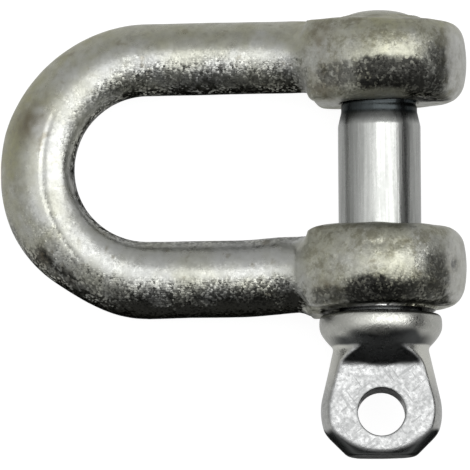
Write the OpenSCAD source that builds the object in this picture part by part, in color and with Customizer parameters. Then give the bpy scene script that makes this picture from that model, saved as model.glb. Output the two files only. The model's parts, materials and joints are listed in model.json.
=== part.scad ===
// Dee shackle: a forged bow with two ears, closed by a screw pin with a collar and a flattened eye.
// Y runs along the pin towards its threaded end, X from the crown towards the ears, and Z up.
// The origin is on the pin's axis, midway between the ears. The shackle lies as it comes to rest.

/* [Bow] */
// Diameter of the round bar that the bow is bent from
bar_d = 8; // [7:0.1:10]
// Clear width between the two legs
inside_w = 15.2; // [13:0.1:20]
// Length from the pin's axis to the inside of the crown
inside_l = 32.4; // [26:0.1:45]

/* [Ears] */
// Outer diameter of each ear
ear_d = 17; // [15:0.1:21]
// How far each ear stands in towards the other, past the inner side of its leg
ear_step_in = 1.2; // [0.5:0.1:2.5]
// How far each ear stands out past the outer side of its leg
ear_step_out = 0.1; // [0.1:0.1:1]
// Radius that each ear's rim is crowned to, from face to face
ear_crown = 7.5; // [6:0.1:12]
// Rounding between an ear's rim and its faces
ear_round = 2; // [1:0.1:3.5]
// How far the ears' centre lies beyond the pin's axis, away from the crown
ear_lead = 0.8; // [0:0.1:1.5]
// Length over which a leg swells into the shoulder of its ear
shoulder_l = 5; // [3.5:0.1:6]
// How much the shoulder's radius exceeds the bar's
shoulder_swell = 2.6; // [1.5:0.1:3]
// Rounding of the shoulder's long edges
shoulder_round = 3.6; // [2:0.1:3.9]

/* [Pin] */
// Diameter of the pin's plain shank
pin_d = 8.7; // [7:0.1:10]
// How much less than the shank's the thread's diameter is
thread_step = 0.7; // [0.2:0.1:1.5]
// Length of the taper that leads from the shank to the thread
taper_l = 1.5; // [0.5:0.1:3]
// Length of thread that shows between the taper and the tapped ear
thread_show = 0.8; // [0.3:0.1:2]
// How far the threaded end stands out of its ear
tip_proud = 0.7; // [0:0.1:3]
// Chamfer on the threaded end
tip_chamfer = 1; // [0.4:0.1:1.5]
// How far the collar reaches past the plain hole all round
collar_reach = 1.5; // [1:0.1:2.5]
// Length of the collar along the pin
collar_t = 3.2; // [2.4:0.1:5]
// Radius that the collar's rim is crowned to
collar_crown = 3.5; // [2:0.1:8]
// Rounding of the collar's edges
collar_round = 0.4; // [0.2:0.1:0.8]

/* [Eye] */
// Diameter of the forged ball that the eye is flattened from
eye_d = 12.8; // [11:0.1:14]
// Thickness between the eye's two flats
eye_t = 6.6; // [5:0.1:8]
// Diameter of the neck between collar and eye
neck_d = 10; // [9:0.1:11]
// Length from the collar's far side to the centre of the eye
eye_l = 6.7; // [6:0.1:8]
// Length from the centre of the eye to its end
eye_end_l = 4.9; // [4.4:0.1:6]
// Diameter of the eye's flat end
eye_end_d = 7.2; // [5:0.1:9]
// Diameter of the hole through the eye
eye_hole_d = 5.2; // [4:0.1:6]
// How far that hole lies beyond the centre of the eye, towards its end
eye_hole_lead = 0.2; // [0:0.1:0.6]
// Length between the collar and the start of the flats
flat_start_l = 1.8; // [1.5:0.1:3]
// Slope that the flattening dies leave between the flats and the neck
die_angle = 48; // [30:1:60]
// Radius at the foot of that slope
die_r = 0.5; // [0.2:0.1:1.5]

/* [Fits] */
// Clearance all round the shank in its plain hole
hole_clearance = 0.65; // [0.6:0.05:1]
// Clearance all round the thread in its tapped hole
thread_clearance = 0.05; // [0.02:0.01:0.1]
// Gap between the collar and its ear, with the pin done up by hand
seat_gap = 0.5; // [0.1:0.05:1]
// Countersink at the mouths of both holes
mouth_chamfer = 0.5; // [0.2:0.1:1]

/* [Hidden] */
$fn = 96;

bar_r = bar_d / 2;
ear_r = ear_d / 2;
pin_r = pin_d / 2;
thread_r = (pin_d - thread_step) / 2;
plain_hole_r = pin_r + hole_clearance;
tapped_hole_r = thread_r + thread_clearance;
collar_r = plain_hole_r + collar_reach;
eye_r = eye_d / 2;
eye_end_r = eye_end_d / 2;
neck_r = neck_d / 2;

// Places in the plane of the bow, measured from the pin's axis
leg_y = inside_w / 2 + bar_r;
crown_centre_x = -(inside_l - inside_w / 2);
crown_x = -(inside_l + bar_r);
ear_t = ear_step_in + bar_d + ear_step_out;
ear_in_y = inside_w / 2 - ear_step_in;
ear_out_y = ear_in_y + ear_t;
ear_mid_y = ear_in_y + ear_t / 2;

// The swell reaches its full radius where the ear's rim is as high as that
shoulder_r = bar_r + shoulder_swell;
shoulder_x = ear_lead - sqrt(ear_r * ear_r - shoulder_r * shoulder_r);
shoulder_start_x = shoulder_x - shoulder_l;
shoulder_fillet_r = (shoulder_l * shoulder_l + shoulder_swell * shoulder_swell) / (2 * shoulder_swell);

// Places along the pin
seat_y = -(ear_out_y + seat_gap);
thread_start_y = ear_in_y - thread_show;
shank_end_y = thread_start_y - taper_l;
tip_y = ear_out_y + tip_proud;
collar_end_y = seat_y - collar_t;
eye_y = collar_end_y - eye_l;
eye_end_y = eye_y - eye_end_l;
flats_start_y = collar_end_y - flat_start_l;

// Where a straight flank from the neck meets the ball of the eye at a tangent
flank_angle = atan2(neck_r, eye_l) + acos(eye_r / norm([neck_r, eye_l]));
flank_r = eye_r * sin(flank_angle);
flank_y = eye_y + eye_r * cos(flank_angle);

// The bow leans so that its crown and the rims of both ears lie on one level surface
lay_angle = asin((ear_r - bar_r) / (ear_lead - crown_x));

overcut = 1;
// Overlap of two arcs where one runs on from the other
arc_lap = 0.01;

// Half section of a disc that stands on y = 0, from its axis outwards.
// The rim is an arc from face to face, blended into both faces by corner arcs.
module barrel_section(r, h, crown, corner) {
    middle = [r - crown, h / 2];
    corner_rise = h / 2 - corner;
    corner_span = crown - corner + arc_lap;
    corner_reach = sqrt(corner_span * corner_span - corner_rise * corner_rise);
    corner_x = middle[0] + corner_reach;
    square([corner_x, h]);
    for (y = [corner, h - corner])
        translate([corner_x, y])
            circle(r = corner);
    intersection() {
        translate(middle)
            circle(r = crown);
        polygon([
            middle,
            middle + 2 * [corner_reach, -corner_rise],
            middle + 2 * [corner_reach, corner_rise],
        ]);
        square([r + overcut, h]);
    }
}

// Turns a shape that is built up the Z axis so that it runs along Y
module along_pin() {
    rotate([-90, 0, 0])
        children();
}

// Turns a shape that is built up the Z axis so that it runs along X
module along_leg() {
    rotate([0, 90, 0])
        children();
}

// Half ring of bar that closes the two legs
module crown() {
    translate([crown_centre_x, 0, 0])
        rotate([0, 0, 90])
            rotate_extrude(angle = 180)
                translate([leg_y, 0])
                    circle(r = bar_r);
}

// Half section of a leg: straight bar, a concave swell, then the shoulder that runs into the ear
module leg_section() {
    straight_l = shoulder_start_x - crown_centre_x;
    difference() {
        square([shoulder_r, ear_lead - crown_centre_x]);
        translate([bar_r, -overcut])
            square([shoulder_swell + overcut, straight_l + overcut]);
        translate([bar_r + shoulder_fillet_r, straight_l])
            circle(r = shoulder_fillet_r);
    }
}

// Section that a shoulder is forged to: as thick as the ear, with rounded long edges
module shoulder_section() {
    half_h = shoulder_r + overcut;
    square([2 * half_h, ear_t - 2 * shoulder_round], center = true);
    square([2 * (half_h - shoulder_round), ear_t], center = true);
    for (z = [-1, 1], y = [-1, 1])
        translate([z * (half_h - shoulder_round), y * (ear_t / 2 - shoulder_round)])
            circle(r = shoulder_round);
}

// Leg on one side of the bow, its shoulder kept within the faces of the ear
module leg(side) {
    intersection() {
        translate([crown_centre_x, side * leg_y, 0])
            along_leg()
                rotate_extrude()
                    leg_section();
        translate([crown_centre_x - overcut, side * ear_mid_y, 0])
            along_leg()
                linear_extrude(height = ear_lead - crown_centre_x + 2 * overcut)
                    shoulder_section();
    }
}

// Round ear on one side of the bow, without its hole
module ear(side) {
    translate([ear_lead, side * ear_mid_y - ear_t / 2, 0])
        along_pin()
            rotate_extrude()
                barrel_section(ear_r, ear_t, ear_crown, ear_round);
}

// Hole through one ear, with a countersink at each face
module ear_hole(side, r) {
    translate([0, side * ear_mid_y - ear_t / 2, 0])
        along_pin() {
            translate([0, 0, -overcut])
                cylinder(r = r, h = ear_t + 2 * overcut);
            cylinder(r1 = r + mouth_chamfer, r2 = r, h = mouth_chamfer);
            translate([0, 0, ear_t - mouth_chamfer])
                cylinder(r1 = r, r2 = r + mouth_chamfer, h = mouth_chamfer);
        }
}

// Forged bow: crown, legs and ears in one piece, with a plain hole below and a tapped hole above
module shackle_bow() {
    color([0.62, 0.62, 0.58])
        rotate([0, -lay_angle, 0])
            difference() {
                union() {
                    crown();
                    for (side = [-1, 1]) {
                        leg(side);
                        ear(side);
                    }
                }
                ear_hole(-1, plain_hole_r);
                ear_hole(1, tapped_hole_r);
            }
}

// Shank, taper and threaded end, turned about the pin's axis
module pin_stem() {
    along_pin()
        rotate_extrude()
            polygon([
                [0, seat_y - collar_t / 2],
                [pin_r, seat_y - collar_t / 2],
                [pin_r, shank_end_y],
                [thread_r, thread_start_y],
                [thread_r, tip_y - tip_chamfer],
                [thread_r - tip_chamfer, tip_y],
                [0, tip_y],
            ]);
}

// Half section of the collar, standing on its conical side, which runs down to the neck of the eye
module collar_section() {
    intersection() {
        barrel_section(collar_r, collar_t, collar_crown, collar_round);
        polygon([
            [0, 0],
            [neck_r, 0],
            [neck_r + collar_t, collar_t],
            [0, collar_t],
        ]);
    }
}

// Collar that seats against the plain ear
module collar() {
    translate([0, collar_end_y, 0])
        along_pin()
            rotate_extrude()
                collar_section();
}

// Half section of the eye before flattening: a ball that tapers to a neck, with a bevelled flat end
module eye_section() {
    root_y = collar_end_y + (collar_r - neck_r) / 2;
    clip_r = eye_r + overcut;
    intersection() {
        union() {
            translate([0, eye_y])
                circle(r = eye_r);
            polygon([
                [0, eye_y],
                [flank_r, flank_y],
                [neck_r, collar_end_y],
                [neck_r, root_y],
                [0, root_y],
            ]);
        }
        polygon([
            [0, eye_end_y],
            [eye_end_r, eye_end_y],
            [clip_r, eye_end_y + clip_r - eye_end_r],
            [clip_r, seat_y],
            [0, seat_y],
        ]);
    }
}

// What one flattening die takes off a side of the eye, with its sloping run-out towards the collar
module die_cut() {
    die_w = eye_d + overcut;
    low_z = eye_t / 2;
    foot = [flats_start_y - die_r * tan(die_angle / 2), low_z + die_r];
    slope_start = foot + die_r * [sin(die_angle), -cos(die_angle)];
    slope_top_z = slope_start[1] + (collar_end_y - slope_start[0]) * tan(die_angle);
    rotate([90, 0, 90])
        linear_extrude(height = die_w, center = true) {
            translate([eye_end_y - overcut, low_z])
                square([foot[0] - eye_end_y + overcut, eye_d]);
            translate(foot)
                circle(r = die_r);
            polygon([
                foot,
                slope_start,
                [collar_end_y, slope_top_z],
                [collar_end_y, low_z + eye_d],
                [foot[0], low_z + eye_d],
            ]);
        }
}

// Eye at the end of the pin: the ball pressed flat on two sides and pierced
module pin_eye() {
    difference() {
        along_pin()
            rotate_extrude()
                eye_section();
        die_cut();
        mirror([0, 0, 1])
            die_cut();
        translate([0, eye_y - eye_hole_lead, 0])
            cylinder(d = eye_hole_d, h = eye_t + 2 * overcut, center = true);
    }
}

// Screw pin: stem, collar and eye in one piece
module screw_pin() {
    color([0.74, 0.76, 0.77]) {
        pin_stem();
        collar();
        pin_eye();
    }
}

shackle_bow();
screw_pin();
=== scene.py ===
import json
import math
from types import SimpleNamespace

import bpy
import numpy as np
from mathutils import Matrix, Vector


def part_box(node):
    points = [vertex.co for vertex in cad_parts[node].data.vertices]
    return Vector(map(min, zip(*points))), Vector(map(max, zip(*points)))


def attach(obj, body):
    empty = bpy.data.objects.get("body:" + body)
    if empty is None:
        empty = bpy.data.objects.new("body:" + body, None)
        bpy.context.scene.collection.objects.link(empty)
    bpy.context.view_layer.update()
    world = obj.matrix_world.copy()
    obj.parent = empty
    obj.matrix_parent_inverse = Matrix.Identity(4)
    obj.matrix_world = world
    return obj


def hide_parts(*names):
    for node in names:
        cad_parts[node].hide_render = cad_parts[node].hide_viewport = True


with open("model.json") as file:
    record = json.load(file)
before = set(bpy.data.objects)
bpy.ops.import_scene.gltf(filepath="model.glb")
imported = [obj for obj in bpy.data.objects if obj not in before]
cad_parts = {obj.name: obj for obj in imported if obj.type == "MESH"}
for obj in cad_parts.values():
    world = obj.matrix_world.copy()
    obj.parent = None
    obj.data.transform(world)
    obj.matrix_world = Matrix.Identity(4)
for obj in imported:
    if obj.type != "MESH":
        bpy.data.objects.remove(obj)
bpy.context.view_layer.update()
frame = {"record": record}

# Sizes are in millimetres here, and become metres when a mesh is made
MM = 0.001
# Keeps a division defined where its terms vanish
TINY = 0.01
mounts = {m["name"]: m for m in frame["record"]["mounts"]}
bow_low, bow_high = (np.array(corner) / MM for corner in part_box("shackle_bow"))
pin_low, pin_high = (np.array(corner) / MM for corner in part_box("screw_pin"))
bow_grid = 0.23
pin_grid = 0.152

# The bow lies with its crown lower than its ears, turned about the pin's axis.
# u runs from crown to ears in the plane of the bow, and w stands square to that plane.
# The tapped ear is on the side of +y, and the plain ear and the pin's eye on that of -y.
# A run, rise or fall is where a change starts and ends: along u, past the crown's start, or in degrees
# round the crown from its end, positive towards the plain ear.
seat = np.array(mounts["bow_seat"]["pos_m"]) / MM
inside_l = math.hypot(seat[0], seat[2])
lay_cos, lay_sin = -seat[0] / inside_l, -seat[2] / inside_l
floor_z = bow_low[2]

# Bar: thinner on the tapped side, with a crest that leans in towards the middle.
# The crown's upper half is fuller than a circle on the inside, and leaner on the outside.
bar_r = 4.0
leg_y = 11.7
crown_u = leg_y - bar_r - inside_l
bar_uneven = 0.15
leg_lean = 0.04
crown_lean = 0.17
lean_soft = 0.3
inner_fullness = 0.65
outer_fullness = -0.12
crown_form_run = (-3, 8)
leg_pinch = 0.3
pinch_run = (-15, -8.5)

# Ears: crowned discs, with faces cut lower than the burr that stands round the tapped hole.
# A lip stands round the plain hole.
face_cut = 0.4
ear_r = 8.5
ear_lead = 0.8
ear_stagger = 0.1
ear_in = 6.4
ear_out = bow_high[1] - face_cut
ear_t = ear_out - ear_in
ear_mid = ear_in + ear_t / 2
ear_crown_top = 7.0
ear_crown_side = 12.0
ear_round = 2.2
ear_face_fade = 2.0
ear_face_edge = 0.45
bar_face_edge = 0.05
plain_hole_r = 5.0
plain_hole_edge = 0.25
tapped_hole_r = 4.05
tapped_hole_edge = 0.5
lip_r = 5.55
lip_half_w = 0.4
lip_half_h = 0.3
lip_edge = 0.15
lip_sunk = 0.1
lip_y = lip_sunk - ear_out
burr_w = 0.9
burr_slope = 1.5
burr_root = 1.0
burr_fillet = 0.8

# Shoulders: a block between each leg and its ear, cut steeply on the tapped side and gently on the plain
# one, and the lump that the die left on the plain one. Fillets are wider on top, by the second value.
shoulder_u = -7.0
shoulder_h = 4.4
shoulder_edge = 0.5
steep_cut = 0.7
gentle_slope = 0.3
gentle_u = -4.4
gentle_gap = 0.12
cut_edge = 0.25
shoulder_fillet = (0.4, 1.2)
ear_fillet = (0.8, 4.0)
lump_middle = np.array([-6.8, 14.6, -1.0])
lump_half = np.array([1.0, 1.2, 3.0])
lump_edge = 0.5
lump_fillet = 0.8

# Marks cut into the bow. Each forging wave has its size, its depth, and how much deeper it is on the ears.
forging_waves = ((5.0, 0.05, 0.0), (2.2, 0.012, 0.038), (1.0, 0.005, 0.01))
die_step_rise = (-11, -8.6)
die_step_fall = (-8.6, -8.3)
die_step_depth = 0.05
score_rise = (-40, -20)
score_fall = (50, 60)
score_in = 1.1
score_turn = 52
score_half_w = 0.15
score_depth = 0.13
dent_turn = 58
dent_spread = 18
dent_depth = 0.5
notch_u = 8.35
notch_y = -11.0
notch_half_u = 0.24
notch_half_y = 0.7
notch_depth = 0.25
# Each row of pits has u and y of its first pit
pit_rows = ((-5.6, -10.3), (-0.7, -9.0))
pits_in_row = 3
pit_step = 0.9
pit_r = 0.3
pit_depth = 0.09

# Finish of the bow: where it changes, the painted reflection on the ears' ends, the painted shade along the
# bar's inside, and the dark streak on the crown's outside
crown_finish_run = (0, 7)
ear_finish_run = (-9.5, -6)
side_rim_run = (7.5, 8.3)
inner_dark_run = (-24, -28)
streak_rise = (32, 40)
streak_fall = (58, 68)
streak_out = 2.4
streak_half_w = 0.8
# Each patch of dark scale on the ears has u and y of its middle, half sizes along u and y, and a strength
scale_patches = ((2.9, 8.9, 5.8, 2.0, 1.15), (5.5, 7.3, 2.6, 1.4, 1.0), (6.9, 9.7, 1.7, 2.4, 0.85),
                 (-0.1, -14.4, 3.8, 2.2, 1.1), (5.0, -14.4, 3.4, 1.9, 0.9),
                 (6.9, -12.5, 1.6, 2.7, 0.75), (-4.6, -14.3, 2.6, 1.1, 0.8),
                 (-3.7, 9.0, 2.8, 1.4, 0.7))
# Each rust stain has u and y of its middle, and its reach
rust_places = ((-35.2, -9.4, 1.3), (-33.2, -11.3, 1.3), (-36.3, 5.0, 1.8), (-5.2, 13.6, 1.5),
               (-5.4, 8.7, 1.8), (-5.2, -13.6, 0.9))

# Pin: its stem with the thread, and its collar, whose face meets the plain ear's
shank_r = mounts["pin_shank"]["dims"]["r_mm"]
thread_r = 4.0
thread_pitch = 1.25
thread_depth = 0.62
thread_steep = 1.5
thread_crest = 0.3
thread_lead = 0.4
thread_run_in = 1.2
shank_end = 4.1
thread_start = 5.6
tip_y = pin_high[1]
tip_dome = 1.3
seat_y = shank_end - mounts["pin_shank"]["dims"]["length_mm"]
stem_root = 1.0
collar_r = 6.5
collar_crown = 3.5
collar_edge = 0.5
collar_t = 3.2
collar_face = seat_y + face_cut
collar_end = seat_y - collar_t
neck_r = 5.0
neck_l = 1.75
neck_root = 0.5
rim_y = (collar_face + collar_end + collar_r - neck_r) / 2

# Pin's eye: a ball with a neck, flattened by the die, a little smaller than its node and with a hole
# that the zinc has narrowed
eye_cut = 0.2
eye_r = 6.4
eye_edge = 0.3
eye_t = mounts["pin_eye"]["dims"]["length_mm"]
eye_hole_r = mounts["pin_eye"]["dims"]["r_mm"]
eye_hole_y = mounts["pin_eye"]["pos_m"][1] / MM
eye_hole_fill = 0.12
eye_hole_edge = 0.12
eye_hole_off = 0.2
eye_y = eye_hole_y + eye_hole_off
eye_end_y = pin_low[1] + eye_cut
eye_end_r = 3.6
face_end_r = 6.9
face_end_off = 2.7
face_end_y = eye_hole_y + face_end_off
face_edge = 0.15
flats_start = collar_end - neck_l
die_angle = math.radians(40)
die_r = 0.3
head_wave_size = 2.5
head_wave_depth = 0.03

# Metal colours, and the shine at grazing angles on clean and on dark metal
zinc_grey = (0.455, 0.462, 0.447)
zinc_olive = (0.33, 0.326, 0.22)
# Pale zinc for a painted highlight on the lip and a painted reflection on the ears' ends
zinc_sheen = (0.75, 0.75, 0.74)
spot_brown = (0.2, 0.18, 0.13)
mottle_grey = (0.25, 0.245, 0.21)
stain_olive = (0.17, 0.162, 0.11)
rust_brown = (0.14, 0.118, 0.08)
# Black of the ears' scale, and of the painted shade on the bar
scale_and_shade_black = (0.038, 0.038, 0.034)
shank_bright = (0.425, 0.433, 0.418)
shank_faint = (0.24, 0.246, 0.236)
head_bright = (0.4, 0.404, 0.402)
head_faint = (0.2, 0.203, 0.203)
pin_olive = (0.36, 0.36, 0.3)
# Pale zinc: a painted reflection on the eye's sides, and the collar's paler tone
pin_pale_sheen = (0.6, 0.6, 0.55)
# Painted shade on the pin
pin_shade_dark = (0.083, 0.086, 0.085)
# Painted shadow under the tapped ear
pin_shadow_black = (0.04, 0.046, 0.048)
clean_shine = (1, 1, 1)
dark_shine = (0.15, 0.15, 0.15)


def smooth_min(a, b, k):
    """Union of two fields, with a fillet of about k."""
    h = np.clip(0.5 + 0.5 * (b - a) / k, 0, 1)
    return b + (a - b) * h - k * h * (1 - h)


def smooth_max(a, b, k):
    """Intersection of two fields, with an edge rounded by about k."""
    return -smooth_min(-a, -b, k)


def step_up(x, low, high):
    """Smooth rise from 0 at low to 1 at high."""
    t = np.clip((x - low) / (high - low), 0, 1)
    return t * t * (3 - 2 * t)


def share_of(a, b):
    """Share of a in a + b."""
    return a / (a + b + TINY)


def barrel(radius, along, r, middle, thick, crown, edge):
    """Field of a disc with a crowned rim and rounded edges."""
    rim = radius - r + (along - middle) ** 2 / (2 * crown)
    faces = np.abs(along - middle) - thick / 2
    return smooth_max(rim, faces, edge)


def rounded_box(place, middle, half, edge):
    """Field of a box with rounded edges."""
    past = [np.abs(p - m) - h + edge for p, m, h in zip(place, middle, half)]
    outside = np.sqrt(sum(np.maximum(p, 0) ** 2 for p in past))
    return outside + np.minimum(np.maximum.reduce(past), 0) - edge


def lattice_noise(points, size, seed):
    """Smooth value noise from -1 to 1, with features of the given size."""
    scaled = points / size + 37.0 * seed
    cell = np.floor(scaled)
    blend = scaled - cell
    blend = blend * blend * (3 - 2 * blend)
    cell = cell.astype(np.int64)
    total = np.zeros(len(points))
    for corner in np.ndindex(2, 2, 2):
        key = cell + np.array(corner)
        mixed = key[:, 0] * 73856093 ^ key[:, 1] * 19349663 ^ key[:, 2] * 83492791 ^ seed * 2654435761
        mixed = (mixed ^ (mixed >> 13)) * 1274126177 & 0xFFFFFFFF
        value = ((mixed ^ (mixed >> 16)) & 0xFFFF) / 32767.5 - 1
        weight = np.prod(np.where(np.array(corner), blend, 1 - blend), axis=1)
        total += value * weight
    return total


def bow_frame(x, z):
    """A place's coordinates along the bow and square to it."""
    return x * lay_cos + z * lay_sin, -x * lay_sin + z * lay_cos


def from_bar(u, y):
    """Distance from the bar's centre line in the plane of the bow, positive outwards."""
    pinched = leg_pinch * step_up(u, *pinch_run) * (y < 0)
    return np.where(u < crown_u, np.hypot(u - crown_u, y), np.abs(y)) - leg_y + pinched


def bar_field(across, u, y, w):
    """Field of the bar, which is the crown and both legs."""
    on_crown = step_up(crown_u - u, *crown_form_run)
    lean = leg_lean + (crown_lean - leg_lean) * on_crown
    leaned = across + lean * (w + np.sqrt(w * w + lean_soft)) / 2
    power = 2 + on_crown * np.where(leaned < 0, inner_fullness, outer_fullness) * (w > 0)
    bar = (np.abs(leaned) ** power + np.abs(w) ** power) ** (1 / power) - bar_r
    return np.maximum(bar + bar_uneven * np.clip(y / leg_y, -1, 1), u - ear_lead)


def shoulder_field(u, y, w):
    """Field of the blocks between the legs and the ears."""
    side = np.abs(y)
    half = (-shoulder_u / 2, ear_t / 2, shoulder_h)
    block = rounded_box((u, side, w), (shoulder_u / 2, ear_mid, 0), half, shoulder_edge)
    steep = (ear_in + shoulder_u + steep_cut - u - side) / math.sqrt(2)
    gentle = ear_in + gentle_gap - gentle_slope * (u - gentle_u) - side
    return smooth_max(block, np.where(y < 0, gentle, steep), cut_edge)


def ear_field(u, y, w):
    """Field of both ears, more crowned on top than at their ends."""
    radius = np.hypot(u - ear_lead - ear_stagger * np.sign(y), w)
    crown = ear_crown_side + (ear_crown_top - ear_crown_side) * w * w / (radius * radius + TINY)
    return barrel(radius, np.abs(y), ear_r, ear_mid, ear_t, crown, ear_round)


def burr_field(from_pin, y):
    """Field of the burr round the tapped hole, a cone on the ear's face."""
    cone = from_pin - tapped_hole_r - burr_w + burr_slope * (y - ear_out)
    return np.maximum.reduce([cone, y - ear_out - face_cut, ear_out - burr_root - y])


def bow_field(x, y, z):
    """Signed distance to the bow, as it lies."""
    u, w = bow_frame(x, z)
    across = from_bar(u, y)
    lower = y < 0
    top = share_of(w * w, across * across)
    bar = bar_field(across, u, y, w)
    solid = smooth_min(bar, shoulder_field(u, y, w), shoulder_fillet[0] + shoulder_fillet[1] * top)
    solid = smooth_min(solid, ear_field(u, y, w), ear_fillet[0] + ear_fillet[1] * top)
    at_ear = step_up(u, shoulder_u - ear_face_fade, shoulder_u)
    out_of_reach = 12 * (1 - at_ear)
    faces = np.abs(np.abs(y) - ear_mid) - ear_t / 2 - out_of_reach
    solid = smooth_max(solid, faces, bar_face_edge + ear_face_edge * at_ear)
    solid = smooth_min(solid, rounded_box((u, -y, w), lump_middle, lump_half, lump_edge), lump_fillet)
    from_pin = np.hypot(u, w)
    lip = smooth_max(np.abs(from_pin - lip_r) - lip_half_w, np.abs(y - lip_y) - lip_half_h, lip_edge)
    solid = smooth_min(smooth_min(solid, lip, lip_edge), burr_field(from_pin, y), burr_fillet)
    hole_r = np.where(lower, plain_hole_r, tapped_hole_r)
    return smooth_max(solid, hole_r - from_pin, np.where(lower, plain_hole_edge, tapped_hole_edge))


def stem_field(radius, x, y, z):
    """Field of the pin's shank, taper and thread, with a domed tip."""
    turn = np.arctan2(z, x) / (2 * np.pi)
    tooth = np.abs(2 * ((y / thread_pitch + turn) % 1) - 1)
    lead_end = thread_start + thread_lead
    run_in = step_up(y, lead_end, lead_end + thread_run_in)
    taper = np.clip((y - shank_end) / (thread_start - shank_end), 0, 1)
    groove = thread_depth * np.clip(thread_steep * tooth - thread_crest, 0, 1)
    stem_r = shank_r + (thread_r - shank_r) * taper - run_in * groove
    dome = tip_dome * (np.hypot(radius / thread_r, (y - tip_y + tip_dome) / tip_dome) - 1)
    return np.where(y > tip_y - tip_dome, dome, np.maximum(radius - stem_r, seat_y - stem_root - y))


def collar_field(radius, y):
    """Field of the collar, crowned, with a cone down to the neck."""
    rim = radius - collar_r + (y - rim_y) ** 2 / (2 * collar_crown)
    cone = (radius - neck_r - (y - collar_end)) / math.sqrt(2)
    return smooth_max(smooth_max(rim, y - collar_face, collar_edge), cone, collar_edge)


def eye_field(radius, x, y, z):
    """Field of the flattened eye and its neck, which is a cone from the collar tangent to the ball."""
    reach = collar_end - eye_y
    flank = math.atan2(neck_r, reach) + math.acos(eye_r / math.hypot(neck_r, reach))
    neck = radius * math.sin(flank) + (y - eye_y) * math.cos(flank) - eye_r
    neck = np.maximum.reduce([neck, y - collar_end - neck_root, eye_y + eye_r * math.cos(flank) - y])
    ball = np.hypot(radius, y - eye_y) - eye_r
    bevel = (radius - eye_end_r - (y - eye_end_y)) / math.sqrt(2)
    eye = smooth_max(np.minimum(ball, neck), smooth_max(bevel, eye_end_y - y, eye_edge), eye_edge)
    flat = np.abs(z) - eye_t / 2 + eye_cut
    eye = smooth_max(eye, (flat + np.hypot(x, y - face_end_y) - face_end_r) / math.sqrt(2), face_edge)
    slope = flat * math.cos(die_angle) - (y - flats_start) * math.sin(die_angle)
    eye = smooth_max(eye, smooth_min(flat, slope, die_r), eye_edge)
    return smooth_max(eye, eye_hole_r - eye_hole_fill - np.hypot(x, y - eye_hole_y), eye_hole_edge)


def pin_field(x, y, z):
    """Signed distance to the screw pin."""
    radius = np.hypot(x, z)
    stem = np.minimum(stem_field(radius, x, y, z), collar_field(radius, y))
    return smooth_min(stem, eye_field(radius, x, y, z), eye_edge)


def gradient(field, points, reach=0.02):
    """Unit normals of a field at some points."""
    slopes = []
    for axis in np.eye(3) * reach:
        slopes.append(field(*(points + axis).T) - field(*(points - axis).T))
    normal = np.stack(slopes, axis=1)
    return normal / np.maximum(np.linalg.norm(normal, axis=1, keepdims=True), 1e-9)


def crossing_points(values, origin, step):
    """A point in each grid cell that the surface crosses, and a grid of the points' numbers."""
    cells = tuple(n - 1 for n in values.shape)
    total = np.zeros(cells + (3,))
    count = np.zeros(cells)
    for axis in range(3):
        for corner in np.ndindex(2, 2):
            start = list(corner)
            start.insert(axis, 0)
            end = list(start)
            end[axis] = 1
            a, b = (values[tuple(slice(o, o + n) for o, n in zip(at, cells))] for at in (start, end))
            crossed = (a < 0) != (b < 0)
            place = np.where(crossed, a / np.where(crossed, a - b, 1), 0)
            for k in range(3):
                total[..., k] += np.where(crossed, place if k == axis else start[k], 0)
            count += crossed
    used = np.argwhere(count > 0)
    number = np.full(cells, -1)
    number[tuple(used.T)] = np.arange(len(used))
    offset = total[tuple(used.T)] / count[tuple(used.T)][:, None]
    return origin + (used + offset) * step, number


def crossing_quads(inside, number):
    """A quad round each grid edge that the surface crosses, facing outwards."""
    quads = []
    for axis in range(3):
        first = [slice(1, n - 1) for n in inside.shape]
        first[axis] = slice(0, inside.shape[axis] - 1)
        second = list(first)
        second[axis] = slice(1, inside.shape[axis])
        leaving = inside[tuple(first)] & ~inside[tuple(second)]
        entering = ~inside[tuple(first)] & inside[tuple(second)]
        j, k = (axis + 1) % 3, (axis + 2) % 3
        outward = ((1, 1), (0, 1), (0, 0), (1, 0))
        for found, order in ((leaving, outward), (entering, outward[::-1])):
            at = np.argwhere(found)
            at[:, [j, k]] += 1
            ring = []
            for dj, dk in order:
                cell = at.copy()
                cell[:, j] -= dj
                cell[:, k] -= dk
                ring.append(number[tuple(cell.T)])
            quads.append(np.stack(ring, axis=1))
    return np.concatenate(quads)


def surface_of(field, low, high, step):
    """Closed quad mesh of a field's zero surface: its points, drawn onto the surface, quads and normals."""
    axes = [np.arange(a - 2 * step, b + 3 * step, step) for a, b in zip(low, high)]
    values = field(*np.meshgrid(*axes, indexing="ij"))
    points, number = crossing_points(values, np.array([a[0] for a in axes]), step)
    quads = crossing_quads(values < 0, number)
    for _ in range(3):
        points = points - gradient(field, points) * np.clip(field(*points.T), -step, step)[:, None]
    return points, quads, gradient(field, points)


def make_piece(name, points, quads, masks):
    """Mesh object, smooth shaded, from points in millimetres. Each mask becomes a mesh attribute."""
    mesh = bpy.data.meshes.new(name)
    mesh.from_pydata((points * MM).tolist(), [], quads.tolist())
    mesh.shade_smooth()
    mesh.update()
    for label, values in masks.items():
        layer = mesh.attributes.new(label, "FLOAT", "POINT")
        layer.data.foreach_set("value", values.astype(np.float32))
    piece = bpy.data.objects.new(name, mesh)
    bpy.context.scene.collection.objects.link(piece)
    return piece


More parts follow.
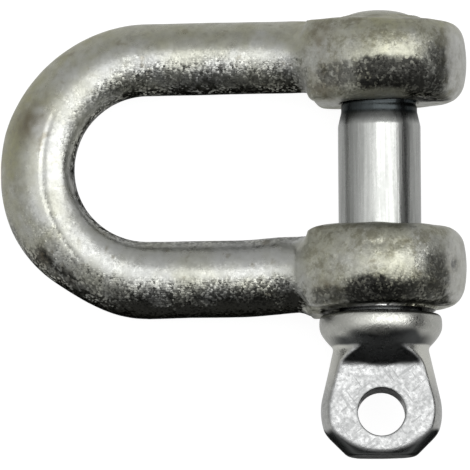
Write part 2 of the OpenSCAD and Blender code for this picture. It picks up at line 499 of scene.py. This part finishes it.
def bow_places(points, normal):
    """Where each point of the bow lies and faces, as its marks and finish need it."""
    u, w = bow_frame(points[:, 0], points[:, 2])
    y = points[:, 1]
    out_u = np.where(u < crown_u, u - crown_u, 0)
    out_y = np.where(u < crown_u, y, np.sign(y))
    ragged = 0.6 * lattice_noise(points, 1.8, 5) + 0.4 * lattice_noise(points, 0.7, 6)
    return SimpleNamespace(
        u=u,
        y=y,
        w=w,
        on_top=w > 0,
        tapped_side=y > 0,
        plain_side=y < 0,
        in_crown=u < crown_u,
        on_crown=step_up(crown_u - u, *crown_finish_run),
        on_ear=step_up(u, *ear_finish_run),
        side_rim=step_up(u + 0.6 * ragged, *side_rim_run),
        across=from_bar(u, y),
        around=np.degrees(np.arctan2(-y, crown_u - u)),
        outward=(normal[:, 0] * out_u + normal[:, 1] * out_y) / np.maximum(np.hypot(out_u, out_y), 1e-6),
        towards_eye=0.2 * ragged - normal[:, 1],
        ragged=ragged,
    )


def score_mark(at):
    """The score along the top of the crown, from 0 to 1."""
    run = step_up(at.around, *score_rise) * (1 - step_up(at.around, *score_fall)) * at.on_top
    from_score = at.across + score_in - score_in * (at.around / score_turn) ** 2
    return run * np.exp(-((from_score / score_half_w) ** 2))


def notch_mark(at):
    """The notch near the plain ear's end, from 0 to 1."""
    along, beside = (at.u - notch_u) / notch_half_u, (at.y - notch_y) / notch_half_y
    return np.exp(-(along**2 + beside**2)) * at.on_top


def forging_depth(points, at):
    """How deep the waves and marks of forging and use are cut into the bow."""
    depth = np.zeros(len(points))
    for seed, (size, everywhere, on_ears) in enumerate(forging_waves, start=1):
        depth += (everywhere + on_ears * at.on_ear) * (lattice_noise(points, size, seed) + 1)
    die_step = step_up(at.u, *die_step_rise) * (1 - step_up(at.u, *die_step_fall)) * at.plain_side
    depth += die_step_depth * die_step + score_depth * score_mark(at) + notch_depth * notch_mark(at)
    for row_u, row_y in pit_rows:
        for pit in range(pits_in_row):
            from_pit = (at.u - row_u - pit_step * pit) ** 2 + (at.y - row_y) ** 2
            depth += pit_depth * np.exp(-from_pit / pit_r**2) * at.on_top
    dent = np.exp(-(((at.around - dent_turn) / dent_spread) ** 2)) * step_up(at.outward, 0.2, 0.9)
    return depth + dent_depth * dent * at.in_crown


def leg_painted_shade(at):
    """Painted shade: darker on the sides of the bar that face the eye, fainter on the crown's tapped side."""
    lowest = at.towards_eye + 0.08 + 0.17 * at.plain_side
    deepest = (0.65 + 0.3 * at.plain_side) * step_up(lowest, 0.85, 1.15)
    # The darkening here is painted shade, standing in for the dark side of the room seen in the metal
    scale = (0.85 * step_up(lowest, 0.45, 0.9) + deepest) * (1 - at.on_ear)
    return scale * (1 - 0.7 * at.on_crown * at.tapped_side)


def ear_scale(at):
    """Ragged patches of dark scale on top of the ears, clear of the lip and of the ears' ends."""
    scale = np.zeros(len(at.u))
    for patch_u, patch_y, half_u, half_y, strength in scale_patches:
        inside = 1 - np.abs((at.u - patch_u) / half_u) ** 4 - np.abs((at.y - patch_y) / half_y) ** 4
        scale = np.maximum(scale, strength * step_up(inside + 0.5 * at.ragged, -0.1, 1.0) * at.on_top)
    return scale * step_up(at.y, lip_y - 0.1, lip_y + 0.1) * (1 - at.side_rim)


def inner_painted_shade(at):
    """Painted shade: a dark line along the inside of the bar, stronger on the crown."""
    line = step_up(-at.outward + 0.1 * at.ragged, 0.75, 0.95) * (1 - at.on_ear)
    return line * (0.5 + 0.4 * step_up(at.u, *inner_dark_run))


def crown_streak(at):
    """Dark streak along the crown's outside, by the dent."""
    run = step_up(at.around, *streak_rise) * (1 - step_up(at.around, *streak_fall)) * at.in_crown
    return run * np.exp(-(((at.across - streak_out + 0.4 * at.ragged) / streak_half_w) ** 2)) * (at.w > -1)


def rust_stains(at):
    """Rust in ragged stains, from 0 to 1."""
    rust = np.zeros(len(at.u))
    for place_u, place_y, reach in rust_places:
        rust += np.exp(-((at.u - place_u) ** 2 + (at.y - place_y) ** 2) / reach**2) * at.on_top
    return np.clip(rust * (0.6 + at.ragged), 0, 1)


def lip_highlight(at):
    """Painted highlight on the middle of the lip, from 0 to 1."""
    beside = np.abs(np.hypot(at.u, at.w) - lip_r) - lip_half_w
    from_lip = np.maximum(beside, np.abs(at.y - lip_y) - lip_half_h)
    return (1 - step_up(from_lip, 0.02, 0.12)) * (1 - step_up(np.abs(at.u), 1.5, 3.5))


def forged_bow():
    """The bow, with the waves and marks of a drop forging, all cut into the clean form."""
    points, quads, normal = surface_of(bow_field, bow_low, bow_high, bow_grid)
    at = bow_places(points, normal)
    # Painted shade in the groove of the score; the notch below is darkened as painted shade too
    score_shade = 0.7 * score_mark(at) * step_up(at.around, -10, 20)
    # Dark mask: real scale on the ears and the streak on the crown, with painted shade on the bar's sides
    # towards the eye, along its inside, in the score and in the notch
    dark = [leg_painted_shade(at), ear_scale(at), inner_painted_shade(at), crown_streak(at), score_shade, notch_mark(at)]
    olive = step_up(at.outward + 0.5 * at.ragged - 0.2 * at.on_crown, 0.0, 0.8)
    olive *= (1 - step_up(at.towards_eye, 0.2, 0.6)) * (1 + 0.5 * at.on_crown)
    coarse = step_up(at.towards_eye + 0.1 * at.tapped_side, -0.05, 0.35)
    coarse *= (1 - 0.6 * at.on_crown * at.tapped_side) * (1 - 0.45 * at.on_ear)
    points = points - normal * forging_depth(points, at)[:, None]
    return make_piece("bow_forging", points, quads, {
        "dark": np.maximum.reduce(dark),
        "dull": at.on_ear,
        "olive": olive,
        "coarse": np.maximum(coarse, 0.3 * at.on_ear),
        "rust": rust_stains(at),
        # Painted highlight on the lip, and painted reflection on the ears' ends
        "painted_sheen": np.maximum(lip_highlight(at), 0.32 * at.side_rim),
    })


def forged_pin():
    """The screw pin, with its thread, and with low waves on the collar and eye."""
    points, quads, normal = surface_of(pin_field, pin_low, pin_high, pin_grid)
    x, y, z = points.T
    sideways = np.abs(normal[:, 0])
    wide = step_up(np.hypot(x, z), shank_r + 0.2, shank_r + 0.5)
    on_head = np.maximum(wide, 1 - step_up(y, seat_y - 0.1, seat_y + 0.6))
    depth = head_wave_depth * (lattice_noise(points, head_wave_size, 4) + 1) * on_head
    ragged = 0.2 * lattice_noise(points, 1.5, 7)
    # Painted shade on the head's faces that turn towards the eye's end, less on the flats' sides
    under = on_head * step_up(ragged - normal[:, 1], 0.35, 0.65)
    under *= 1 - step_up(sideways, 0.5, 0.8) * step_up(y, flats_start - 1, flats_start)
    # Painted shade on the stem under and in the tapped ear, and in the plain ear
    tapped_ear_shade = 0.87 * step_up(y, shank_end, shank_end + 0.9)
    tapped_ear_shade += 0.13 * step_up(y, thread_start - 0.6, thread_start)
    tapped_ear_shade *= 1 - 0.35 * step_up(sideways, 0.75, 0.97)
    plain_ear_shade = 1 - step_up(y, seat_y + 1.5, seat_y + 2.5) - on_head
    # Painted shadow of the tapped ear on the stem, where it enters the ear
    ear_shadow = step_up(y, thread_start - 0.6, thread_start) * (1 - step_up(y, ear_in + 0.5, ear_in + 1))
    ear_shadow *= 1 - 0.5 * step_up(sideways, 0.75, 0.97)
    tip = step_up(y, tip_y - tip_dome - 1, tip_y - tip_dome)
    collar = on_head * step_up(y, collar_end, collar_end + 1)
    # Painted shade in the gap where the collar's face meets the ear
    collar_gap_shade = 0.8 * on_head * step_up(y, collar_face - 0.45, collar_face - 0.15)
    # Painted reflection: the head's sides that face sideways are paler; the collar's share below is its own
    # paler tone
    pale = (on_head - 0.6 * collar) * step_up(sideways, 0.4, 0.8)
    # Painted shade on the wall of the eye's hole
    bore_shade = step_up(eye_hole_r + 0.15 - np.hypot(x, y - eye_hole_y), 0.0, 0.1)
    # All of the pin's dark mask is painted shade
    dark = [under, tapped_ear_shade + plain_ear_shade - tip, 0.4 * bore_shade, collar_gap_shade]
    points = points - normal * depth[:, None]
    return make_piece("pin_forging", points, quads, {
        "on_head": np.maximum(on_head, tip),
        "dark": np.clip(np.maximum.reduce(dark), 0, 1),
        "ear_shadow": ear_shadow,
        "olive": np.maximum(tip, 0.3 * collar),
        "pale": np.maximum(pale * (0.3 + 0.7 * step_up(y, eye_y + 1, flats_start)), 0.4 * collar),
    })


def add_node(tree, kind, inputs=None, **settings):
    """New shader node: inputs are values, or the output socket that feeds them."""
    made = tree.nodes.new(kind)
    for key, value in settings.items():
        setattr(made, key, value)
    for key, value in (inputs or {}).items():
        if isinstance(value, bpy.types.NodeSocket):
            tree.links.new(value, made.inputs[key])
        else:
            made.inputs[key].default_value = value
    return made


def noise(tree, place, size, detail=2.0, harsh=0.5):
    """Cloudy value from 0 to 1, with features of a size in millimetres."""
    inputs = {"Vector": place, "Scale": 1 / (size * MM), "Detail": detail, "Roughness": harsh}
    return add_node(tree, "ShaderNodeTexNoise", inputs).outputs["Fac"]


def remap(tree, value, low, high, to_low=0.0, to_high=1.0):
    """A value carried from one range to another, smoothly and within its limits."""
    inputs = {"Value": value, "From Min": low, "From Max": high, "To Min": to_low, "To Max": to_high}
    return add_node(tree, "ShaderNodeMapRange", inputs, interpolation_type="SMOOTHSTEP").outputs["Result"]


def calculate(tree, operation, *values):
    """One sum of a shader's values."""
    return add_node(tree, "ShaderNodeMath", dict(enumerate(values)), operation=operation).outputs[0]


def vector_sum(tree, operation, *values):
    """One sum of a shader's vectors."""
    return add_node(tree, "ShaderNodeVectorMath", dict(enumerate(values)), operation=operation).outputs[0]


def mix_colours(tree, share, first, second):
    """A colour between two, each a socket or a colour."""
    inputs = {0: share}
    for socket, colour in ((6, first), (7, second)):
        inputs[socket] = colour if isinstance(colour, bpy.types.NodeSocket) else (*colour, 1)
    return add_node(tree, "ShaderNodeMix", inputs, data_type="RGBA", clamp_factor=True).outputs[2]


def attribute(tree, name):
    """A mask that the mesh carries."""
    return add_node(tree, "ShaderNodeAttribute", attribute_name=name).outputs["Fac"]


def new_metal(name):
    """Empty metal material: its node tree, its shader and the place on the object."""
    material = bpy.data.materials.new(name)
    material.use_nodes = True
    tree = material.node_tree
    shader = tree.nodes["Principled BSDF"]
    shader.inputs["Metallic"].default_value = 1.0
    return material, tree, shader, add_node(tree, "ShaderNodeTexCoord").outputs["Object"]


def set_colour(tree, shader, colour, dark):
    """Give a metal its colour, with less shine at grazing angles where it is dark."""
    tree.links.new(colour, shader.inputs["Base Color"])
    tree.links.new(mix_colours(tree, dark, clean_shine, dark_shine), shader.inputs["Specular Tint"])


def weathered_zinc(tree, place):
    """Colour of dull zinc on a forging: olive outside, with spots, mottle, stains and rust."""
    dull, outside = attribute(tree, "dull"), attribute(tree, "olive")
    cloud = remap(tree, noise(tree, place, 5.0, detail=4.0), 0.35, 0.65, 0.0, 0.4)
    olive = calculate(tree, "MULTIPLY_ADD", outside, 0.44, cloud)
    olive = calculate(tree, "MULTIPLY_ADD", dull, 0.2, olive)
    colour = mix_colours(tree, olive, zinc_grey, zinc_olive)
    spots = remap(tree, noise(tree, place, 1.4, detail=4.0), 0.6, 0.74, 0.0, 0.55)
    colour = mix_colours(tree, spots, colour, spot_brown)
    stained = calculate(tree, "MAXIMUM", dull, outside)
    mottle = remap(tree, noise(tree, place, 0.8, detail=6.0, harsh=0.75), 0.4, 0.7, 0.0, 0.6)
    mottle = calculate(tree, "MULTIPLY", mottle, remap(tree, stained, 0, 1, 0.4, 1.0))
    colour = mix_colours(tree, mottle, colour, mottle_grey)
    stain = remap(tree, noise(tree, place, 2.0, detail=8.0, harsh=0.75), 0.48, 0.62, 0.0, 0.65)
    colour = mix_colours(tree, calculate(tree, "MULTIPLY", stain, dull), colour, stain_olive)
    return mix_colours(tree, attribute(tree, "rust"), colour, rust_brown)


def scale_and_shade_share(tree, place, flakes):
    """Share of dark scale and painted shade, with droplets of zinc left bare in it, fewer on the ears."""
    gather = remap(tree, noise(tree, place, 2.5), 0.35, 0.65, 0.3, 0.85)
    gather = calculate(tree, "MULTIPLY", gather, remap(tree, attribute(tree, "dull"), 0, 1, 1.0, 0.6))
    bare = calculate(tree, "MULTIPLY", remap(tree, flakes, 0.45, 0.8), gather)
    return calculate(tree, "SUBTRACT", attribute(tree, "dark"), bare)


def grained_normal(tree, place, flakes, flake_scale):
    """Normal of a grainy skin: a fine bump, and flakes that each lean their own way."""
    cells = {"Vector": place, "Scale": flake_scale, "Smoothness": 0.3}
    hollow = add_node(tree, "ShaderNodeTexVoronoi", cells, feature="SMOOTH_F1").outputs["Distance"]
    rough_skin = noise(tree, place, 0.5, detail=6.0, harsh=0.75)
    grain = remap(tree, attribute(tree, "coarse"), 0, 1, 0.2, 1.0)
    height = calculate(tree, "MULTIPLY", calculate(tree, "MULTIPLY_ADD", hollow, -0.7, rough_skin), grain)
    bump = add_node(tree, "ShaderNodeBump", {"Height": height, "Strength": 1.0, "Distance": 0.04 * MM})
    tilt = vector_sum(tree, "SUBTRACT", flakes, (0.5, 0.5, 0.5))
    tilt = vector_sum(tree, "MULTIPLY", tilt, calculate(tree, "MULTIPLY", grain, 0.4))
    return vector_sum(tree, "NORMALIZE", vector_sum(tree, "ADD", bump.outputs["Normal"], tilt))


def bow_zinc():
    """Dull zinc on the bow, with dark scale and painted shade, bare droplets, a painted highlight on the lip
    and painted reflection on the ears' ends.
    """
    material, tree, shader, place = new_metal("bow_zinc")
    flake_scale = 1 / (0.24 * MM)
    flakes = add_node(tree, "ShaderNodeTexVoronoi", {"Vector": place, "Scale": flake_scale}).outputs["Color"]
    dark = scale_and_shade_share(tree, place, flakes)
    # Dark scale and painted shade, in one black
    colour = mix_colours(tree, dark, weathered_zinc(tree, place), scale_and_shade_black)
    # Painted highlight and painted reflection, as a pale zinc
    colour = mix_colours(tree, attribute(tree, "painted_sheen"), colour, zinc_sheen)
    set_colour(tree, shader, colour, dark)
    rough = remap(tree, noise(tree, place, 1.2, detail=4.0), 0.3, 0.7, 0.26, 0.4)
    rough = calculate(tree, "MULTIPLY_ADD", attribute(tree, "dull"), 0.08, rough)
    tree.links.new(rough, shader.inputs["Roughness"])
    tree.links.new(grained_normal(tree, place, flakes, flake_scale), shader.inputs["Normal"])
    return material


def pin_pattern(tree, place, on_head):
    """Brightness of the pin's zinc: drawn streaks on the shank, mottle and crossing scratches on the head."""
    drawn = add_node(tree, "ShaderNodeMapping", {"Vector": place, "Scale": (1.0, 0.04, 1.0)}).outputs[0]
    streak = remap(tree, noise(tree, drawn, 0.4, detail=3.0), 0.3, 0.7, 0.35, 1.0)
    mottle = remap(tree, noise(tree, place, 0.4, detail=5.0, harsh=0.65), 0.2, 0.75)
    mottle = calculate(tree, "MULTIPLY", mottle, remap(tree, noise(tree, place, 1.8), 0.3, 0.65, 0.6, 1.0))
    for angle in (0.6, -0.9):
        crossing = {"Vector": place, "Rotation": (0, 0, angle), "Scale": (1, 9, 1)}
        crossing = add_node(tree, "ShaderNodeMapping", crossing, vector_type="TEXTURE").outputs[0]
        scratch = remap(tree, noise(tree, crossing, 0.25), 0.6, 0.68, 1.0, 0.35)
        mottle = calculate(tree, "MULTIPLY", mottle, scratch)
    drawn_share = remap(tree, on_head, 0, 1, 0.75, 0.0)
    return add_node(tree, "ShaderNodeMix", {0: drawn_share, 2: mottle, 3: streak}).outputs[0]


def pin_zinc():
    """Bright zinc on the pin, with painted shade where it is sheltered, a painted shadow where the thread
    enters its ear, and painted sheen on the head's sides.
    """
    material, tree, shader, place = new_metal("pin_zinc")
    on_head, dark = attribute(tree, "on_head"), attribute(tree, "dark")
    pattern = pin_pattern(tree, place, on_head)
    bright = mix_colours(tree, on_head, shank_bright, head_bright)
    faint = mix_colours(tree, on_head, shank_faint, head_faint)
    colour = mix_colours(tree, pattern, faint, bright)
    colour = mix_colours(tree, attribute(tree, "olive"), colour, pin_olive)
    # Painted reflection on the eye's sides, and a paler collar
    colour = mix_colours(tree, attribute(tree, "pale"), colour, pin_pale_sheen)
    # Painted shade
    colour = mix_colours(tree, dark, colour, pin_shade_dark)
    # Painted shadow under the tapped ear
    colour = mix_colours(tree, attribute(tree, "ear_shadow"), colour, pin_shadow_black)
    set_colour(tree, shader, colour, dark)
    tree.links.new(remap(tree, pattern, 0.0, 1.0, 0.36, 0.24), shader.inputs["Roughness"])
    bump = add_node(tree, "ShaderNodeBump", {"Height": pattern, "Strength": 1.0, "Distance": 0.015 * MM})
    tree.links.new(bump.outputs["Normal"], shader.inputs["Normal"])
    return material


def floor_white():
    """Pale floor's material: it shows white, also in the metal, and keeps the shackle's shadow."""
    seen_glow = 0.9
    mirrored_glow = 0.52
    grey = (0.22, 0.22, 0.22, 1)
    material = bpy.data.materials.new("floor_white")
    material.use_nodes = True
    tree = material.node_tree
    tree.nodes.clear()
    rays = add_node(tree, "ShaderNodeLightPath").outputs
    mirrored = calculate(tree, "ADD", rays["Is Glossy Ray"], rays["Is Transmission Ray"])
    pale = calculate(tree, "MULTIPLY", mirrored, mirrored_glow)
    glow = calculate(tree, "MULTIPLY_ADD", rays["Is Camera Ray"], seen_glow, pale)
    diffuse = add_node(tree, "ShaderNodeBsdfDiffuse", {"Color": grey})
    white = add_node(tree, "ShaderNodeEmission", {"Color": (1, 1, 1, 1), "Strength": glow})
    both = add_node(tree, "ShaderNodeAddShader", {0: diffuse.outputs[0], 1: white.outputs[0]})
    add_node(tree, "ShaderNodeOutputMaterial", {"Surface": both.outputs[0]})
    return material


def add_floor():
    """Floor under the shackle, sized in metres."""
    half = 3.0
    corners = [(-half, -half, 0), (half, -half, 0), (half, half, 0), (-half, half, 0)]
    mesh = bpy.data.meshes.new("floor")
    mesh.from_pydata(corners, [], [(0, 1, 2, 3)])
    mesh.materials.append(floor_white())
    plane = bpy.data.objects.new("floor", mesh)
    plane.location.z = floor_z * MM
    bpy.context.scene.collection.objects.link(plane)


def add_softbox():
    """One long softbox overhead, drawn out to the right of the shackle."""
    distance = 0.5
    radiance = 1.65
    across, along = math.radians(20), math.radians(8)
    half_across, half_along = math.radians(34), math.radians(16)
    towards = Vector((math.tan(across), math.tan(along), 1)).normalized()
    lamp = bpy.data.lights.new("softbox", "AREA")
    lamp.shape = "RECTANGLE"
    lamp.size = 2 * distance * math.tan(half_across)
    lamp.size_y = 2 * distance * math.tan(half_along)
    lamp.energy = radiance * math.pi * lamp.size * lamp.size_y
    holder = bpy.data.objects.new("softbox", lamp)
    right = Vector((0, 1, 0)).cross(towards).normalized()
    turn = Matrix((right, towards.cross(right), towards)).transposed()
    holder.matrix_world = Matrix.Translation(towards * distance) @ turn.to_4x4()
    bpy.context.scene.collection.objects.link(holder)


def add_world():
    """Studio walls: brightest overhead, dark on the eye's side, on the far right and at the horizon."""
    wall_level = 0.58
    overhead_level = 0.95
    world = bpy.data.worlds.new("studio")
    bpy.context.scene.world = world
    world.use_nodes = True
    tree = world.node_tree
    direction = add_node(tree, "ShaderNodeTexCoord").outputs["Generated"]
    x, y, z = add_node(tree, "ShaderNodeSeparateXYZ", {0: direction}).outputs
    behind = calculate(tree, "MULTIPLY_ADD", calculate(tree, "ABSOLUTE", x), 0.55, y)
    eye_side = remap(tree, behind, -0.75, -0.1, 0.06, 1.0)
    right = remap(tree, x, 0.78, 0.86, 1.0, 0.04)
    left = remap(tree, x, -0.75, -0.2, 1.2, 1.0)
    horizon = remap(tree, z, 0.0, 0.1, 0.5, 1.0)
    narrow = remap(tree, calculate(tree, "ABSOLUTE", y), 0.15, 0.55, 1.0, 0.15)
    overhead = calculate(tree, "MULTIPLY", remap(tree, z, 0.35, 1.0), narrow)
    strength = calculate(tree, "MULTIPLY_ADD", overhead, overhead_level, wall_level)
    for share in (eye_side, right, left, horizon):
        strength = calculate(tree, "MULTIPLY", strength, share)
    tree.links.new(strength, tree.nodes["Background"].inputs["Strength"])
    tree.nodes["Background"].inputs["Color"].default_value = (1, 1, 1, 1)


def add_camera():
    """Camera above the shackle, a little towards the eye, at the photograph's angle."""
    image_px = 470
    mm_per_px = 0.1053
    pin_px = (380.0, 166.5)
    elevation = math.radians(84)
    roll = math.radians(-0.4)
    distance = 1.5
    right = Vector((1, 0, 0))
    up = Vector((0, math.sin(elevation), math.cos(elevation)))
    back = right.cross(up)
    across = (image_px / 2 - pin_px[0]) * mm_per_px * MM
    upward = (pin_px[1] - image_px / 2) * mm_per_px * MM
    camera = bpy.data.cameras.new("camera")
    camera.sensor_width = 36
    camera.lens = camera.sensor_width * distance / (image_px * mm_per_px * MM)
    holder = bpy.data.objects.new("camera", camera)
    turn = Matrix((right, up, back)).transposed() @ Matrix.Rotation(roll, 3, "Z")
    place = right * across + up * upward + back * distance
    holder.matrix_world = Matrix.Translation(place) @ turn.to_4x4()
    bpy.context.scene.collection.objects.link(holder)
    bpy.context.scene.camera = holder


def place_piece(piece, material, body, node):
    """Finish a piece: its material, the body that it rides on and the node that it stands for."""
    piece.data.materials.append(material)
    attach(piece, body)
    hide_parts(node)


place_piece(forged_bow(), bow_zinc(), "bow", "shackle_bow")
place_piece(forged_pin(), pin_zinc(), "pin", "screw_pin")
add_floor()
add_softbox()
add_world()
add_camera()
bpy.context.scene.view_settings.view_transform = "Standard"
